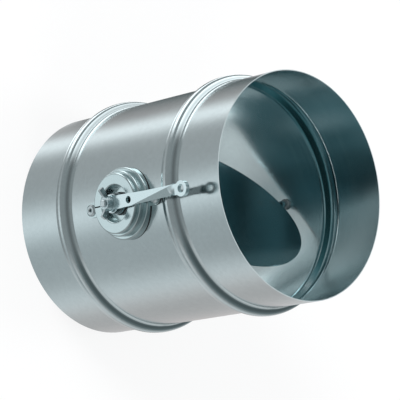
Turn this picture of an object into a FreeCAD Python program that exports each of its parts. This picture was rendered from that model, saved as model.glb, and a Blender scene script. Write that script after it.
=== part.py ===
import FreeCAD, Part
import os
import Sketcher

# Round air damper for 160 mm round duct: a rolled sheet casing with two stop
# beads, a disc blade on two half-shafts, and a hand lever on a stand-off dish
# that a wing nut clamps.
#
# Row frame: the duct's axis is +Z, with the origin at the centre of its lower
# rim. The shaft runs along Y and comes out through the dish on the -Y side.
#
# Mechanism frame (MECHANISM below): x is the row's X, y is the row's Z, and z
# points outward along the shaft, with its zero on the duct's axis. "lift"
# means a height above the duct's outer surface, measured along the shaft.

Vector = FreeCAD.Vector

SIZES = [
    # duct casing
    ("duct_radius", 79.6, "outer radius of the spigots"),
    ("duct_length", 200, "rim to rim"),
    ("duct_sheet", 0.6, "wall"),
    ("bead_gap", 9.2, "from the upper lug's end to the middle of the bead"),
    ("bead_height", 4.9, "above the duct"),
    ("bead_crest", 4.8, "flat width before rounding"),
    ("bead_crest_bend", 5.0, "outer bend radius of the crest"),
    ("bead_foot_bend", 3.0, "outer bend radius of the feet"),
    ("shaft_above_middle", 10, "shaft axis above mid-length"),
    # blade
    ("blade_gap", 7.0, "between the blade's edge and the duct's wall"),
    ("blade_sheet", 1.2, "thickness"),
    ("blade_angle", 45, "from the duct's axis, as the damper stands"),
    # half-shafts
    ("shaft_radius", 4.0, "drive half-shaft"),
    ("pivot_radius", 2.5, "pivot half-shaft"),
    ("shaft_play", 0.05, "radial, in the bushes"),
    ("shaft_grip", 27, "length of the flat that carries the blade"),
    ("shaft_step", 1.2, "from the blade's edge to the full round"),
    ("square_flats", 6.0, "across the square that turns the lever"),
    ("stud_radius", 2.5, "threaded end"),
    # dish
    ("dish_sheet", 0.8, "wall"),
    ("dish_lift", 10.8, "of the flat ring"),
    ("dish_face_step", 1.8, "from the middle step in to the flat ring"),
    ("dish_middle_lift", 7.6, "of the middle step"),
    ("dish_middle_step", 2.3, "from the skirt in to the middle step"),
    ("dish_foot_lift", 3.2, "of the lower step"),
    ("dish_foot_radius", 24.8, "skirt"),
    ("dish_bend", 1.0, "bend radius of the steps"),
    ("recess_radius", 13.0, "at the flat ring"),
    ("recess_floor_radius", 11.4, "at the floor"),
    ("recess_floor_lift", 4.6, "of the floor"),
    ("slit_width", 0.9, "index slit in the flat ring"),
    ("rivet_gap_low", 9.0, "from the skirt to the lower rivet's axis"),
    ("rivet_gap_high", 4.8, "from the skirt to the upper rivet's axis"),
    ("lug_radius", 5.2, "round end of a lug"),
    ("gasket_sheet", 0.8, "under the dish"),
    ("gasket_width", 3.4, "under the skirt"),
    # bushes
    ("outer_bush_radius", 5.6, "in the recess floor"),
    ("outer_bush_flange", 8.0, "radius"),
    ("outer_bush_flange_sheet", 1.4, "thickness"),
    ("outer_bush_tail", 1.8, "below the recess floor's underside"),
    ("wall_bush_radius", 5.2, "in the duct wall"),
    ("wall_bush_flange", 7.2, "radius"),
    ("bush_flange_sheet", 1.2, "thickness"),
    ("bush_tail", 1.6, "past the duct wall"),
    ("pivot_bush_radius", 3.8, "in the duct wall"),
    ("pivot_bush_flange", 6.6, "radius"),
    # stack between dish and lever
    ("friction_disc_radius", 7.6, "fibre disc"),
    ("friction_disc_sheet", 1.4, "thickness"),
    ("thrust_washer_radius", 7.4, "steel washer"),
    ("thrust_washer_sheet", 1.4, "thickness"),
    ("disc_spring_radius", 7.2, "conical spring"),
    ("disc_spring_sheet", 0.7, "thickness"),
    ("disc_spring_height", 1.6, "overall"),
    ("collar_radius", 6.6, "spacer under the lever"),
    ("lever_lift", 13.0, "of the lever's underside"),
    # lever
    ("lever_sheet", 2.0, "thickness"),
    ("lever_width", 9.8, "strip at the shaft"),
    ("lever_tip_width", 7.4, "strip past its taper"),
    ("lever_taper_end", 35, "shaft axis to the end of the taper"),
    ("lever_hub_radius", 6.0, "round end at the shaft"),
    ("lever_hole_reach", 18.5, "shaft axis to the round hole"),
    ("lever_hole_radius", 2.5, "round hole"),
    ("crease_start", 21, "shaft axis to the crease's end on the +x edge"),
    ("crease_end_gap", 7.5, "from the crease's end on the -x edge to the eye's centre"),
    ("crease_angle", 34, "by which the flap leans to the duct"),
    ("neck_length", 7.5, "in which the flap turns level"),
    ("neck_gap", 0.7, "from the neck's level end to the eye's edge"),
    ("neck_overlap", 2.6, "depth of the neck's block in the eye"),
    ("lever_reach", 69.5, "shaft axis to the eye"),
    ("eye_radius", 5.3, "outer"),
    ("eye_hole_radius", 2.9, "hole"),
    ("eye_thickness", 3.0, "of the eye's ring"),
    # wing nut
    ("clamp_washer_radius", 5.2, "under the wing nut"),
    ("clamp_washer_sheet", 1.0, "thickness"),
    ("nut_foot_radius", 4.9, "hub at the washer"),
    ("nut_neck_radius", 4.1, "hub at its outer end"),
    ("nut_height", 4.2, "hub"),
    ("nut_play", 0.05, "radial, on the stud"),
    ("wing_sheet", 2.0, "thickness"),
    ("wing_span", 22.0, "tip to tip"),
    ("wing_rise", 7.8, "above the hub's foot"),
    ("wing_root", 0.6, "depth of a wing's root inside the hub"),
    ("wing_shoulder", 0.4, "from the wing's root to the hub's ends"),
    ("wing_tip_drop", 3.3, "from the wing's highest corner to its widest one"),
    ("wing_tip_width", 2.2, "from the highest corner out to the widest one"),
    ("stud_overrun", 1.6, "past the nut"),
    ("stud_bevel", 0.6, "at its end"),
    # fasteners
    ("clip_sheet", 0.8, "retaining clips"),
    ("clip_radius", 6.2, "outer, drive side"),
    ("pivot_clip_radius", 4.8, "outer, pivot side"),
    ("clip_groove", 0.7, "depth of the clip's groove"),
    ("clip_play", 0.1, "between clip and flange"),
    ("clip_mouth", 0.8, "mouth's width, as a share of the groove's diameter"),
    ("pivot_overrun", 2.4, "past the pivot clip's foot"),
    ("pivot_washer_sheet", 0.8, "thickness"),
    ("dish_rivet_radius", 2.0, "shank"),
    ("dish_rivet_head", 4.2, "radius"),
    ("dish_rivet_rim", 0.5, "height of the head's edge"),
    ("dish_rivet_crown", 3.0, "radius of the head's flat top"),
    ("dish_rivet_head_height", 1.3, "above the lug"),
    ("dish_rivet_bore", 1.2, "where the mandrel was"),
    ("dish_rivet_mouth", 1.8, "radius of the bore's countersink"),
    ("dish_rivet_tail", 3.2, "past the duct's inner wall"),
    ("dish_rivet_tail_end", 2.6, "radius of the tail's end"),
    ("dish_rivet_bulge", 3.0, "radius of the swollen tail"),
    ("dish_rivet_bulge_rise", 1.0, "from the tail's end to its widest place"),
    ("dish_rivet_seat_gap", 0.2, "between the tail's shoulder and the wall"),
    ("blade_rivet_radius", 1.5, "shank"),
    ("blade_rivet_head", 2.5, "countersunk head, flush"),
    ("blade_rivet_land", 0.25, "straight part of the shank in the blade"),
    ("blade_rivet_spot", 0.9, "depth of the seat on the half-shaft's back"),
    ("blade_rivet_edge", 0.5, "height of the formed head's edge"),
    ("blade_rivet_height", 1.2, "of the formed head"),
    ("blade_rivet_crown", 1.5, "radius of the formed head's top"),
    ("blade_rivet_pitch", 14, "between two rivets"),
]

doc = FreeCAD.newDocument("RoundAirDamper")
sheet = doc.addObject("Spreadsheet::Sheet", "Sizes")
for row, (alias, value, note) in enumerate(SIZES, start=1):
    sheet.set(f"A{row}", alias)
    sheet.set(f"B{row}", str(value))
    sheet.set(f"C{row}", note)
    sheet.setAlias(f"B{row}", alias)
doc.recompute()


def add_derived(entries):
    """Add cells that are worked out from the driving sizes above."""
    first = len(SIZES) + 2
    for row, (alias, formula) in enumerate(entries, start=first):
        sheet.set(f"A{row}", alias)
        sheet.set(f"B{row}", "=" + formula)
        sheet.setAlias(f"B{row}", alias)
    doc.recompute()


# Heights along the shaft are counted from the duct's axis.
add_derived([
    ("shaft_height", "duct_length / 2 + shaft_above_middle"),
    ("dish_middle_radius", "dish_foot_radius - dish_middle_step"),
    ("dish_face_radius", "dish_middle_radius - dish_face_step"),
    ("gasket_radius", "dish_foot_radius - gasket_width"),
    ("lug_reach_low", "dish_foot_radius + rivet_gap_low"),
    ("lug_reach_high", "dish_foot_radius + rivet_gap_high"),
    ("bead_offset", "shaft_above_middle + lug_reach_high + lug_radius + bead_gap"),
    ("duct_bore", "duct_radius - duct_sheet"),
    ("blade_radius", "duct_bore - blade_gap"),
    ("flange_seat", "sqrt(duct_bore ^ 2 - wall_bush_flange ^ 2)"),
    ("wall_flange_foot", "flange_seat - bush_flange_sheet"),
    ("floor_top", "duct_radius + recess_floor_lift"),
    ("friction_disc_foot", "floor_top + outer_bush_flange_sheet"),
    ("thrust_washer_foot", "friction_disc_foot + friction_disc_sheet"),
    ("disc_spring_foot", "thrust_washer_foot + thrust_washer_sheet"),
    ("collar_foot", "disc_spring_foot + disc_spring_height"),
    ("lever_foot", "duct_radius + lever_lift"),
    ("lever_top", "lever_foot + lever_sheet"),
    ("nut_foot", "lever_top + clamp_washer_sheet"),
    ("nut_top", "nut_foot + nut_height"),
    ("stud_end", "nut_top + stud_overrun"),
    ("drive_clip_top", "wall_flange_foot - clip_play"),
    ("pivot_flange_top", "duct_radius + bush_flange_sheet"),
    ("pivot_washer_top", "pivot_flange_top + pivot_washer_sheet"),
    ("pivot_clip_foot", "pivot_washer_top + clip_play"),
    ("pivot_end", "pivot_clip_foot + pivot_overrun"),
    ("grip_foot", "blade_radius - shaft_grip"),
    ("full_round_foot", "blade_radius + shaft_step"),
    ("lug_top", "duct_radius + gasket_sheet + dish_sheet"),
    ("crease_end", "lever_reach - crease_end_gap"),
    ("neck_end", "lever_reach - eye_radius - neck_gap"),
    ("neck_foot", "neck_end - neck_length"),
    ("taper_share", "crease_start / lever_taper_end"),
    ("crease_x", "lever_width / 2 - (lever_width - lever_tip_width) / 2 * taper_share"),
    ("crease_drop", "crease_x + lever_tip_width / 2"),
    ("crease_run", "crease_end - crease_start"),
    ("crease_length", "sqrt(crease_run ^ 2 + crease_drop ^ 2)"),
    ("eye_foot", "lever_top - eye_thickness"),
])


def size(name):
    return float(sheet.get(name))


def named(text):
    """Turn the words of a formula into references to the sheet."""
    aliases = {entry[0] for entry in SIZES} | DERIVED
    out = []
    word = ""
    for sign in text + " ":
        if sign.isalnum() or sign == "_":
            word += sign
            continue
        out.append("Sizes." + word if word in aliases else word)
        out.append(sign)
        word = ""
    return "".join(out).strip()


DERIVED = {
    sheet.get(f"A{row}")
    for row in range(len(SIZES) + 2, len(SIZES) + 60)
    if sheet.getContents(f"A{row}")
}


def bind(item, prop, text):
    item.setExpression(prop, named(str(text)))


ROW = "placement(vector(0; 0; 0); rotation(vector(0; 0; 1); 0))"
MECHANISM = "placement(vector(0; 0; shaft_height); rotation(vector(1; 0; 0); 90))"
FAR_SIDE = "placement(vector(0; 0; shaft_height); rotation(vector(1; 0; 0); -90))"
BLADE_TURN = "rotation(vector(0; 0; 1); -blade_angle)"
DAMPER = f"placement(vector(0; 0; shaft_height); rotation(vector(1; 0; 0); 90) * {BLADE_TURN})"


def value_of(text):
    """The number that a formula gives with the present sizes."""
    return float(sheet.evalExpression(named(str(text))))


def draw_polygon(sketch, points):
    """Closed outline through points, each a pair of formulas, bound to them."""
    values = [(value_of(across), value_of(up)) for across, up in points]
    count = len(points)
    for index in range(count):
        start = Vector(*values[index], 0)
        end = Vector(*values[(index + 1) % count], 0)
        sketch.addGeometry(Part.LineSegment(start, end))
    for index in range(count):
        sketch.addConstraint(Sketcher.Constraint("Coincident", index, 2, (index + 1) % count, 1))
    for index, (across, up) in enumerate(points):
        for kind, text, number in (("DistanceX", across, 0), ("DistanceY", up, 1)):
            made = Sketcher.Constraint(kind, -1, 1, index, 1, values[index][number])
            place = sketch.addConstraint(made)
            bind(sketch, f"Constraints[{place}]", text)


def draw_circle(sketch, across, up, radius):
    """Circle with its centre and radius bound to formulas."""
    centre = (value_of(across), value_of(up))
    index = sketch.addGeometry(Part.Circle(Vector(*centre, 0), Vector(0, 0, 1), value_of(radius)))
    for kind, text, number in (("DistanceX", across, 0), ("DistanceY", up, 1)):
        place = sketch.addConstraint(Sketcher.Constraint(kind, -1, 1, index, 3, centre[number]))
        bind(sketch, f"Constraints[{place}]", text)
    place = sketch.addConstraint(Sketcher.Constraint("Radius", index, value_of(radius)))
    bind(sketch, f"Constraints[{place}]", radius)


def new_body(label, placement):
    body = doc.addObject("PartDesign::Body", label)
    body.Label = label
    bind(body, "Placement", placement)
    return body


def new_sketch(body, role, offset=None, turn=None):
    """Sketch on one of the body's planes, lifted and turned by formulas."""
    sketch = body.newObject("Sketcher::SketchObject", body.Name + "_sketch")
    plane = [item for item in body.Origin.OriginFeatures if item.Role == role][0]
    sketch.AttachmentSupport = [(plane, "")]
    sketch.MapMode = "FlatFace"
    if offset is not None:
        bind(sketch, "AttachmentOffset.Base.z", offset)
    if turn is not None:
        bind(sketch, "AttachmentOffset.Rotation.Angle", turn)
    return sketch


def pad(body, sketch, length):
    feature = body.newObject("PartDesign::Pad", body.Name + "_pad")
    feature.Profile = sketch
    bind(feature, "Length", length)
    doc.recompute()
    return feature


def pocket_through(body, sketch, reverse):
    """Cut the sketch through everything on one side, and check that it cut."""
    before = body.Shape.Volume
    feature = body.newObject("PartDesign::Pocket", body.Name + "_pocket")
    feature.Profile = sketch
    feature.Type = "ThroughAll"
    feature.Reversed = reverse
    doc.recompute()
    if body.Shape.Volume >= before - 1e-6:
        raise ValueError("pocket cut nothing in " + body.Label)
    return feature


def revolve(body, sketch, axis="V_Axis"):
    feature = body.newObject("PartDesign::Revolution", body.Name + "_revolution")
    feature.Profile = sketch
    feature.ReferenceAxis = (sketch, [axis])
    feature.Angle = 360
    doc.recompute()
    return feature


def turned_body(label, placement, points):
    """Body of revolution about the placement's z, from a closed outline."""
    body = new_body(label, placement)
    sketch = new_sketch(body, "XZ_Plane")
    draw_polygon(sketch, points)
    doc.recompute()
    revolve(body, sketch)
    return body


def round_edges(body, radius, chosen):
    """Fillet the circular edges that chosen(radius, height) picks."""
    base = body.Tip
    feature = body.newObject("PartDesign::Fillet", body.Name + "_fillet")
    names = []
    for number, edge in enumerate(base.Shape.Edges, start=1):
        curve = edge.Curve
        if not isinstance(curve, Part.Circle) or len(edge.Vertexes) != 1:
            continue
        if chosen(curve.Radius, curve.Center.z):
            names.append(f"Edge{number}")
    feature.Base = (base, names)
    bind(feature, "Radius", radius)
    doc.recompute()
    return feature


def cylinder(name, radius, height, placement):
    item = doc.addObject("Part::Cylinder", name)
    bind(item, "Radius", radius)
    bind(item, "Height", height)
    bind(item, "Placement", placement)
    return item


def box(name, length, width, height, placement):
    item = doc.addObject("Part::Box", name)
    bind(item, "Length", length)
    bind(item, "Width", width)
    bind(item, "Height", height)
    bind(item, "Placement", placement)
    return item


def lifted(frame, lift, across="0", up="0"):
    """The frame, moved outward by lift and aside in its own x and y."""
    return f"{frame} * placement(vector({across}; {up}; {lift}); rotation(vector(0; 0; 1); 0))"


def cut(label, base, tools):
    """Base less the tools, one after the other."""
    result = base
    for number, tool in enumerate(tools, start=1):
        step = doc.addObject("Part::Cut", f"{label}_cut{number}")
        step.Base = result
        step.Tool = tool
        result = step
    result.Label = label
    doc.recompute()
    return result


def fuse(label, shapes):
    item = doc.addObject("Part::MultiFuse", label + "_fuse")
    item.Shapes = shapes
    item.Refine = True
    item.Label = label
    doc.recompute()
    return item


def group(label, shapes):
    """Separate solids that share one node."""
    item = doc.addObject("Part::Compound", label + "_group")
    item.Links = shapes
    item.Label = label
    doc.recompute()
    return item


def ring(label, placement, inner, outer, foot, top):
    return turned_body(label, placement, [
        (inner, foot), (outer, foot), (outer, top), (inner, top),
    ])


def near(one, other):
    """Equal within 0.02 mm."""
    return abs(one - other) < 0.02


# Duct casing

LUG_REACHES = ["-lug_reach_low", "lug_reach_high"]


def duct_outline():
    """Section of the rolled sheet: outer skin upward, inner skin downward.

    The bead's flanks slope at 45 degrees, so each is as wide as it is high.
    """
    middle = "duct_length / 2"
    slant = "duct_sheet * tan(22.5 deg)"
    outer = [("duct_radius", "0")]
    inner = [("duct_bore", "0")]
    for side in ("- bead_offset", "+ bead_offset"):
        centre = f"{middle} {side}"
        foot = "bead_crest / 2 + bead_height"
        crest = "bead_crest / 2"
        outer += [
            ("duct_radius", f"{centre} - ({foot})"),
            ("duct_radius + bead_height", f"{centre} - {crest}"),
            ("duct_radius + bead_height", f"{centre} + {crest}"),
            ("duct_radius", f"{centre} + {foot}"),
        ]
        inner += [
            ("duct_bore", f"{centre} - ({foot} - {slant})"),
            ("duct_bore + bead_height", f"{centre} - ({crest} - {slant})"),
            ("duct_bore + bead_height", f"{centre} + ({crest} - {slant})"),
            ("duct_bore", f"{centre} + ({foot} - {slant})"),
        ]
    outer.append(("duct_radius", "duct_length"))
    inner.append(("duct_bore", "duct_length"))
    return outer + inner[::-1]


def make_duct():
    body = turned_body("duct_body", ROW, duct_outline())
    outer_crest = size("duct_radius") + size("bead_height")
    inner_crest = outer_crest - size("duct_sheet")
    ends = (0.0, size("duct_length"))
    round_edges(body, "bead_crest_bend", lambda r, z: near(r, outer_crest))
    round_edges(body, "bead_crest_bend - duct_sheet", lambda r, z: near(r, inner_crest))
    round_edges(body, "bead_foot_bend",
                lambda r, z: near(r, size("duct_radius")) and round(z, 3) not in ends)
    round_edges(body, "bead_foot_bend + duct_sheet",
                lambda r, z: near(r, size("duct_bore")) and round(z, 3) not in ends)
    near_holes = new_sketch(body, "XZ_Plane")
    draw_circle(near_holes, "0", "shaft_height", "wall_bush_radius")
    for reach in LUG_REACHES:
        draw_circle(near_holes, "0", f"shaft_height + ({reach})", "dish_rivet_radius")
    doc.recompute()
    pocket_through(body, near_holes, True)
    far_hole = new_sketch(body, "XZ_Plane")
    draw_circle(far_hole, "0", "shaft_height", "pivot_bush_radius")
    doc.recompute()
    pocket_through(body, far_hole, False)
    return body


# Stand-off dish, its gasket and its rivets


def footprint(name, foot, top):
    """Prism of the dish's outline on the duct: the skirt and its two lugs."""
    depth = f"{top} - ({foot})"
    disc = cylinder(name + "_disc", "dish_foot_radius", depth, lifted(MECHANISM, foot))
    strip = box(name + "_strip", "2 * lug_radius", "lug_reach_low + lug_reach_high", depth,
                lifted(MECHANISM, foot, "-lug_radius", "-lug_reach_low"))
    ends = [
        cylinder(f"{name}_end{number}", "lug_radius", depth, lifted(MECHANISM, foot, "0", reach))
        for number, reach in enumerate(LUG_REACHES, start=1)
    ]
    return fuse(name, [disc, strip] + ends)


def duct_shell(name, inner, outer):
    """Tube about the duct's axis, from one radius to another."""
    return cut(name, cylinder(name + "_outer", outer, "duct_length", ROW),
               [cylinder(name + "_inner", inner, "duct_length", ROW)])


def common(name, one, other):
    item = doc.addObject("Part::Common", name)
    item.Base = one
    item.Tool = other
    doc.recompute()
    return item


def rivet_holes(name, foot, top):
    return [
        cylinder(f"{name}_hole{number}", "dish_rivet_radius", f"{top} - ({foot})",
                 lifted(MECHANISM, foot, "0", reach))
        for number, reach in enumerate(LUG_REACHES, start=1)
    ]


def make_dish():
    """Drawn cup with a sunk middle, cut to sit on the duct, and two lugs."""
    under = "- dish_sheet"
    skirt_foot = "duct_radius - dish_foot_radius"
    lifts = {
        "face": "duct_radius + dish_lift",
        "middle": "duct_radius + dish_middle_lift",
        "foot": "duct_radius + dish_foot_lift",
    }
    outline = [
        ("outer_bush_radius", "floor_top"),
        ("recess_floor_radius", "floor_top"),
        ("recess_radius", lifts["face"]),
        ("dish_face_radius", lifts["face"]),
        ("dish_face_radius", lifts["middle"]),
        ("dish_middle_radius", lifts["middle"]),
        ("dish_middle_radius", lifts["foot"]),
        ("dish_foot_radius", lifts["foot"]),
        ("dish_foot_radius", skirt_foot),
        (f"dish_foot_radius {under}", skirt_foot),
        (f"dish_foot_radius {under}", f"{lifts['foot']} {under}"),
        (f"dish_middle_radius {under}", f"{lifts['foot']} {under}"),
        (f"dish_middle_radius {under}", f"{lifts['middle']} {under}"),
        (f"dish_face_radius {under}", f"{lifts['middle']} {under}"),
        (f"dish_face_radius {under}", f"{lifts['face']} {under}"),
        ("recess_radius + dish_sheet", f"{lifts['face']} {under}"),
        ("recess_floor_radius + dish_sheet", f"floor_top {under}"),
        ("outer_bush_radius", f"floor_top {under}"),
    ]
    cup = turned_body("dish_cup", MECHANISM, outline)
    steps = [
        (size("dish_face_radius"), value_of(lifts["face"])),
        (size("dish_middle_radius"), value_of(lifts["middle"])),
        (size("dish_foot_radius"), value_of(lifts["foot"])),
        (size("recess_radius"), value_of(lifts["face"])),
    ]
    round_edges(cup, "dish_bend",
                lambda r, z: any(near(r, radius) and near(z, lift) for radius, lift in steps))
    slit = new_sketch(cup, "XY_Plane")
    draw_polygon(slit, [
        ("-slit_width / 2", "-(recess_radius + dish_bend)"),
        ("-slit_width / 2", "-(dish_face_radius - dish_bend)"),
        ("slit_width / 2", "-(dish_face_radius - dish_bend)"),
        ("slit_width / 2", "-(recess_radius + dish_bend)"),
    ])
    doc.recompute()
    pocket_through(cup, slit, True)
    saddle = cylinder("dish_saddle", "duct_radius + gasket_sheet", "duct_length", ROW)
    shell = duct_shell("dish_lug_shell", "duct_radius + gasket_sheet", "lug_top")
    prism = footprint("dish_lug_prism", "duct_bore / 2", "lug_top + dish_sheet")
    lugs = common("dish_lugs_whole", shell, prism)
    middle = cylinder("dish_lug_middle", "dish_foot_radius - dish_sheet", "duct_radius",
                      lifted(MECHANISM, "duct_radius / 2"))
    lugs = cut("dish_lug_pair", lugs, [middle])
    cup = cut("dish_cup_seated", cup, [saddle])
    whole = fuse("dish_whole", [cup, lugs])
    return cut("operating_dish", whole, rivet_holes("dish", "duct_radius / 2", "lug_top + dish_sheet"))


def make_gasket():
    shell = duct_shell("gasket_shell", "duct_radius", "duct_radius + gasket_sheet")
    prism = footprint("gasket_prism", "duct_bore / 2", "lug_top + dish_sheet")
    whole = common("gasket_whole", shell, prism)
    window = cylinder("gasket_window", "gasket_radius", "duct_radius",
                      lifted(MECHANISM, "duct_radius / 2"))
    holes = rivet_holes("gasket", "duct_radius / 2", "lug_top + dish_sheet")
    return cut("dish_gasket", whole, [window] + holes)


def make_dish_rivets():
    """Blind rivets: a domed head outside, a swollen tail inside the duct."""
    tail = "duct_bore - dish_rivet_tail"
    shoulder = "duct_bore - dish_rivet_seat_gap"
    top = "lug_top + dish_rivet_head_height"
    pieces = []
    for number, reach in enumerate(LUG_REACHES, start=1):
        pieces.append(turned_body(f"dish_rivet{number}", lifted(MECHANISM, "0", "0", reach), [
            ("dish_rivet_bore", tail),
            ("dish_rivet_tail_end", tail),
            ("dish_rivet_bulge", f"{tail} + dish_rivet_bulge_rise"),
            ("dish_rivet_radius", shoulder),
            ("dish_rivet_radius", "lug_top"),
            ("dish_rivet_head", "lug_top"),
            ("dish_rivet_head", "lug_top + dish_rivet_rim"),
            ("dish_rivet_crown", top),
            ("dish_rivet_mouth", top),
            ("dish_rivet_bore", f"{top} - dish_rivet_rim"),
        ]))
    return group("dish_rivets", pieces)


# Bushes


def make_bushes():
    bore = "shaft_radius + shaft_play"
    floor_under = "floor_top - dish_sheet"
    turned_body("outer_bush", MECHANISM, [
        (bore, f"{floor_under} - outer_bush_tail"),
        ("outer_bush_radius", f"{floor_under} - outer_bush_tail"),
        ("outer_bush_radius", "floor_top"),
        ("outer_bush_flange", "floor_top"),
        ("outer_bush_flange", "friction_disc_foot"),
        (bore, "friction_disc_foot"),
    ])
    turned_body("wall_bush", MECHANISM, [
        (bore, "wall_flange_foot"),
        ("wall_bush_flange", "wall_flange_foot"),
        ("wall_bush_flange", "flange_seat"),
        ("wall_bush_radius", "flange_seat"),
        ("wall_bush_radius", "duct_radius + bush_tail"),
        (bore, "duct_radius + bush_tail"),
    ])
    blank = turned_body("pivot_bush_blank", FAR_SIDE, [
        ("pivot_radius + shaft_play", "duct_bore - bush_tail"),
        ("pivot_bush_radius", "duct_bore - bush_tail"),
        ("pivot_bush_radius", "duct_bore"),
        ("pivot_bush_flange", "duct_bore"),
        ("pivot_bush_flange", "pivot_flange_top"),
        ("pivot_radius + shaft_play", "pivot_flange_top"),
    ])
    under_flange = cut("pivot_bush_saddle", cylinder("saddle_block", "duct_radius", "duct_length", ROW),
                       [cylinder("saddle_core", "pivot_bush_radius", "duct_length",
                                 lifted(FAR_SIDE, "0"))])
    return cut("pivot_bush", blank, [under_flange])


# Half-shafts, blade and blade rivets

RIVET_PLACES = {
    "drive": [
        "blade_radius - (shaft_grip - blade_rivet_pitch) / 2",
        "blade_radius - (shaft_grip + blade_rivet_pitch) / 2",
    ],
    "pivot": [
        "-(blade_radius - (shaft_grip - blade_rivet_pitch) / 2)",
        "-(blade_radius - (shaft_grip + blade_rivet_pitch) / 2)",
    ],
}


def rivet_seats(name, side, radius):
    """Shank hole and flat seat behind it, for each rivet of one half-shaft."""
    tools = []
    for number, along in enumerate(RIVET_PLACES[side], start=1):
        place = (f"{DAMPER} * placement(vector(0; 0; {along}); rotation(vector(0; 1; 0); 90))")
        tools.append(cylinder(f"{name}_shank{number}", "blade_rivet_radius", f"2 * {radius}", place))
        seat = (f"{DAMPER} * placement(vector({radius} - blade_rivet_spot; 0; {along});"
                " rotation(vector(0; 1; 0); 90))")
        tools.append(cylinder(f"{name}_seat{number}", "blade_rivet_head + shaft_play",
                              f"2 * {radius}", seat))
    return tools


def make_drive_shaft():
    """Full round in the bushes, square in the lever, stud in the wing nut."""
    place = lifted(DAMPER, "grip_foot")
    rod = cylinder("drive_rod", "shaft_radius", "lever_foot - grip_foot", place)
    flat = box("drive_flat", "2 * shaft_radius", "2 * shaft_radius", "full_round_foot - grip_foot",
               lifted(DAMPER, "grip_foot", "-2 * shaft_radius", "-shaft_radius"))
    groove = cut("drive_groove",
                 cylinder("groove_outer", "2 * shaft_radius", "clip_sheet",
                          lifted(DAMPER, "drive_clip_top - clip_sheet")),
                 [cylinder("groove_inner", "shaft_radius - clip_groove", "clip_sheet",
                           lifted(DAMPER, "drive_clip_top - clip_sheet"))])
    square = box("drive_square", "square_flats", "square_flats", "lever_top - lever_foot",
                 lifted(MECHANISM, "lever_foot", "-square_flats / 2", "-square_flats / 2"))
    corner_turn = cylinder("drive_square_turned", "shaft_radius", "lever_top - lever_foot",
                           lifted(MECHANISM, "lever_foot"))
    key = common("drive_key", square, corner_turn)
    stud = turned_body("drive_stud", MECHANISM, [
        ("0", "lever_top"),
        ("stud_radius", "lever_top"),
        ("stud_radius", "stud_end - stud_bevel"),
        ("stud_radius - stud_bevel", "stud_end"),
        ("0", "stud_end"),
    ])
    bar = cut("drive_bar", rod, [flat, groove] + rivet_seats("drive", "drive", "shaft_radius"))
    return fuse("drive_shaft", [bar, key, stud])


def make_pivot_shaft():
    """Shorter and thinner half-shaft, held by a clip outside the duct."""
    rod = cylinder("pivot_rod", "pivot_radius", "pivot_end - grip_foot", lifted(DAMPER, "-pivot_end"))
    flat = box("pivot_flat", "2 * pivot_radius", "2 * pivot_radius", "full_round_foot - grip_foot",
               lifted(DAMPER, "-full_round_foot", "-2 * pivot_radius", "-pivot_radius"))
    groove = cut("pivot_groove",
                 cylinder("pivot_groove_outer", "2 * pivot_radius", "clip_sheet",
                          lifted(FAR_SIDE, "pivot_clip_foot")),
                 [cylinder("pivot_groove_inner", "pivot_radius - clip_groove", "clip_sheet",
                           lifted(FAR_SIDE, "pivot_clip_foot"))])
    return cut("pivot_shaft", rod, [flat, groove] + rivet_seats("pivot", "pivot", "pivot_radius"))


def rivet_outline(radius):
    """From the flush head in the blade to the formed head behind."""
    seat = f"{radius} - blade_rivet_spot"
    return [
        ("-blade_sheet", "0"),
        ("-blade_sheet", "blade_rivet_head"),
        ("-blade_rivet_land", "blade_rivet_radius"),
        (seat, "blade_rivet_radius"),
        (seat, "blade_rivet_head"),
        (f"{seat} + blade_rivet_edge", "blade_rivet_head"),
        (f"{seat} + blade_rivet_height", "blade_rivet_crown"),
        (f"{seat} + blade_rivet_height", "0"),
    ]


def make_blade():
    body = new_body("blade_disc", DAMPER)
    sketch = new_sketch(body, "YZ_Plane", offset="-blade_sheet")
    draw_circle(sketch, "0", "0", "blade_radius")
    doc.recompute()
    pad(body, sketch, "blade_sheet")
    tools = []
    for side in RIVET_PLACES:
        for number, along in enumerate(RIVET_PLACES[side], start=1):
            tools.append(blade_rivet(f"{side}_countersink{number}", along, "shaft_radius"))
    return cut("blade", body, tools)


def blade_rivet(name, along, radius):
    place = f"{DAMPER} * placement(vector(0; 0; {along}); rotation(vector(0; 0; 1); 0))"
    body = new_body(name, place)
    sketch = new_sketch(body, "XZ_Plane")
    draw_polygon(sketch, rivet_outline(radius))
    doc.recompute()
    revolve(body, sketch, "H_Axis")
    return body


def make_blade_rivets():
    for side, radius in (("drive", "shaft_radius"), ("pivot", "pivot_radius")):
        pieces = [
            blade_rivet(f"{side}_rivet{number}", along, radius)
            for number, along in enumerate(RIVET_PLACES[side], start=1)
        ]
        group(f"{side}_blade_rivets", pieces)


# Clips and washers


def make_clip(label, frame, foot, shaft, outer):
    """Snap ring with an open mouth, seated in its groove."""
    body = new_body(label + "_ring", frame)
    sketch = new_sketch(body, "XY_Plane", offset=foot)
    draw_circle(sketch, "0", "0", outer)
    draw_circle(sketch, "0", "0", f"{shaft} - clip_groove")
    doc.recompute()
    pad(body, sketch, "clip_sheet")
    half_mouth = f"({shaft} - clip_groove) * clip_mouth"
    mouth = box(label + "_mouth", f"2 * {half_mouth}", f"2 * {outer}", "3 * clip_sheet",
                lifted(frame, f"{foot} - clip_sheet", f"-{half_mouth}", "0"))
    return cut(label, body, [mouth])


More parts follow.
